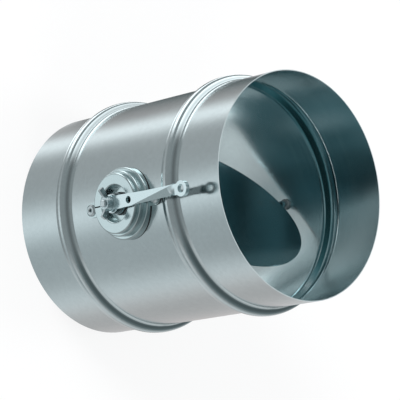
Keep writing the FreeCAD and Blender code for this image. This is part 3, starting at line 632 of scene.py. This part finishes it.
def glow_card(name, vertices, faces, tones):
    """Stage card that only reflections see, with a tone for each vertex."""
    material, tree = new_material(name)
    output = tree.nodes.new("ShaderNodeOutputMaterial")
    glow = tree.nodes.new("ShaderNodeEmission")
    tone = tree.nodes.new("ShaderNodeAttribute")
    tone.attribute_name = "tone"
    tree.links.new(tone.outputs["Color"], glow.inputs["Color"])
    tree.links.new(glow.outputs["Emission"], output.inputs["Surface"])
    card = new_object(name, vertices, faces, material)
    layer = card.data.color_attributes.new("tone", "FLOAT_COLOR", "POINT")
    for place, colour in zip(layer.data, tones):
        place.color = (*colour, 1.0)
    for face in card.data.polygons:
        face.use_smooth = True
    card.visible_camera = False
    card.visible_diffuse = False
    card.visible_shadow = False
    card.visible_transmission = False


def ring_faces(ring, around):
    """Faces between a ring of vertices and the ring before it."""
    low = (ring - 1) * around
    high = ring * around
    return [(low + step, low + (step + 1) % around, high + (step + 1) % around, high + step)
            for step in range(around)]


def bell(value, centre, width):
    return math.exp(-((value - centre) / width) ** 2)


def step_between(value, low, high):
    """0 at low, 1 at high, smooth between."""
    share = min(1.0, max(0.0, (value - low) / (high - low)))
    return share * share * (3 - 2 * share)


def between(one, other, share):
    return one + (other - one) * share


def metal_light(level, tint, warmth=0.0):
    """Colour of a light level: near white when bright, teal in the shade."""
    share = step_between(level, *SHADE_LEVELS)
    red = between(tint[0], tint[2], share) * (1 + WARM_RED * warmth)
    green = between(tint[1], tint[3], share) * (1 + WARM_GREEN * warmth)
    return level * red, level * green, level


def flank_light(angle, tilt):
    """Light on a bead's flank, by its angle from the front and its tilt upward."""
    right = step_between(angle, *RIGHT_ANGLES)
    left = step_between(-angle, *BANK_ANGLES)
    foot = step_between(-tilt, *FOOT_TILTS) * (1 - right)
    low = between(between(*LOW_LEVELS, right), FOOT_LIGHT, foot)
    high = between(*HIGH_LEVELS, right)
    level = between(low, high, step_between(tilt, *LEVEL_TILTS))
    bank = max(1 - step_between(tilt, *BANK_END_TILTS), step_between(tilt, *BANK_START_TILTS))
    return between(level, BANK, left * bank)


def sky_light(azimuth, height):
    """Light from the sky and from behind, by azimuth from the front and height."""
    level = between(LIGHT_BASE, SKY, step_between(height, *SKY_HEIGHTS))
    for centre, rise, width, gain in SOFT_BOXES:
        apart = (azimuth - centre + 180) % 360 - 180
        aside = apart * math.cos(math.radians(height))
        level += gain * bell(aside, 0, width) * bell(height, rise, width)
    return level


def tent_light(direction, forward):
    """Light of the tent in a direction.

    A surface mirrors it towards the camera where its normal halves the way
    between the two, so the light is laid out by that normal's angle and tilt.
    """
    normal = (direction - forward).normalized()
    angle = math.degrees(math.atan2(normal.x, -normal.y))
    tilt = math.degrees(math.asin(normal.z))
    strips = LIGHT_BASE + sum(gain * bell(angle, centre, width)
                              for centre, width, gain in LIGHT_STRIPS)
    grazing = 1 + STRIP_SPREAD * step_between(-angle, *GRAZING_ANGLES)
    near = 1 - max(step_between(tilt / grazing, *STRIP_RISE),
                   step_between(-tilt / grazing, *STRIP_DROP))
    low = between(flank_light(angle, tilt), strips, near)
    centre, rise, width, depth, gain = SHADE_PATCH
    low += gain * bell(angle, centre, width) * bell(tilt, rise, depth)
    azimuth = math.degrees(math.atan2(direction.x, -direction.y))
    high = sky_light(azimuth, math.degrees(math.asin(direction.z)))
    warmth = near * (step_between(abs(angle), *WARM_ANGLES) - COOL_SHARE * bell(angle, *COOL_BELL))
    level = between(low, high, step_between(tilt, *SKY_TILTS))
    return metal_light(level, OUTSIDE_TINT, warmth)


def camera_forward():
    turn = Matrix.Rotation(CAMERA_AZIMUTH, 3, "Z")
    return turn @ Vector((0, math.cos(CAMERA_ELEVATION), -math.sin(CAMERA_ELEVATION)))


def make_tent():
    """Light tent all round the damper, seen only in its reflections."""
    forward = camera_forward()
    middle = Vector(MIDDLE)
    around = 360 // TENT_STEP
    rings = 180 // TENT_STEP
    vertices = []
    tones = []
    faces = []
    for ring in range(rings + 1):
        height = math.radians(-TENT_POLE + 2 * TENT_POLE * ring / rings)
        for step in range(around):
            azimuth = 2 * math.pi * step / around
            direction = Vector((math.cos(height) * math.sin(azimuth),
                                -math.cos(height) * math.cos(azimuth), math.sin(height)))
            vertices.append((middle + direction * TENT_RADIUS)[:])
            tones.append(tent_light(direction, forward))
        if ring:
            faces += ring_faces(ring, around)
    glow_card("tent", vertices, faces, tones)


def bore_card(name, height, base, patches, ring_gain):
    """Round card at an end of the bore, with soft patches of light and a ring."""
    vertices = []
    tones = []
    faces = []
    for ring in range(CARD_RINGS + 1):
        reach = BORE_RADIUS * max(ring, CARD_CORE) / CARD_RINGS
        for step in range(CARD_AROUND):
            turn = 2 * math.pi * step / CARD_AROUND
            x, y = reach * math.cos(turn), reach * math.sin(turn)
            level = base + sum(gain * bell(math.hypot(x - centre_x, y - centre_y), 0, width)
                               for centre_x, centre_y, width, gain in patches)
            level += ring_gain * step_between(reach, *RING_REACH)
            vertices.append((x, y, height))
            tones.append(metal_light(max(level, DARKEST), BORE_TINT))
        if ring:
            faces += ring_faces(ring, CARD_AROUND)
    glow_card(name, vertices, faces, tones)


def make_bore_cards():
    low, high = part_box("duct_body")
    bore_card("card_below", low[2] - CARD_GAP_BELOW, BELOW_BASE, BELOW_PATCHES, RING_GAIN)
    bore_card("card_above", high[2] + CARD_GAP_ABOVE, ABOVE_BASE, ABOVE_PATCHES, 0.0)


def make_lamp(name, place, size, power):
    """Round soft lamp towards the damper's middle, not seen in reflections."""
    data = bpy.data.lights.new(name, "AREA")
    data.shape = "DISK"
    data.size = size
    data.energy = power
    lamp = bpy.data.objects.new(name, data)
    bpy.context.scene.collection.objects.link(lamp)
    lamp.location = place
    lamp.visible_glossy = False
    lamp.rotation_euler = (Vector(MIDDLE) - Vector(place)).to_track_quat("-Z", "Y").to_euler()


def make_camera():
    """The photograph's view: from above and in front, rolled onto its side."""
    forward = camera_forward()
    aim = Matrix.Rotation(CAMERA_AZIMUTH, 3, "Z") @ AIM_BEFORE_TURN
    upright = forward.to_track_quat("-Z", "Y").to_matrix()
    data = bpy.data.cameras.new("camera")
    data.sensor_width = SENSOR_MM
    data.lens = FOCAL_PIXELS / FRAME_PIXELS * SENSOR_MM
    data.clip_end = CLIP_END
    camera = bpy.data.objects.new("camera", data)
    bpy.context.scene.collection.objects.link(camera)
    camera.matrix_world = (Matrix.Translation(aim - forward * CAMERA_DISTANCE)
                           @ (upright @ Matrix.Rotation(CAMERA_ROLL, 3, "Z")).to_4x4())
    bpy.context.scene.camera = camera


materials = dress_nodes()
make_thread(materials["drive_shaft"])
make_world()
make_floor()
make_tent()
make_bore_cards()
for lamp_row in LAMPS:
    make_lamp(*lamp_row)
make_camera()
bpy.context.scene.view_settings.view_transform = "Standard"
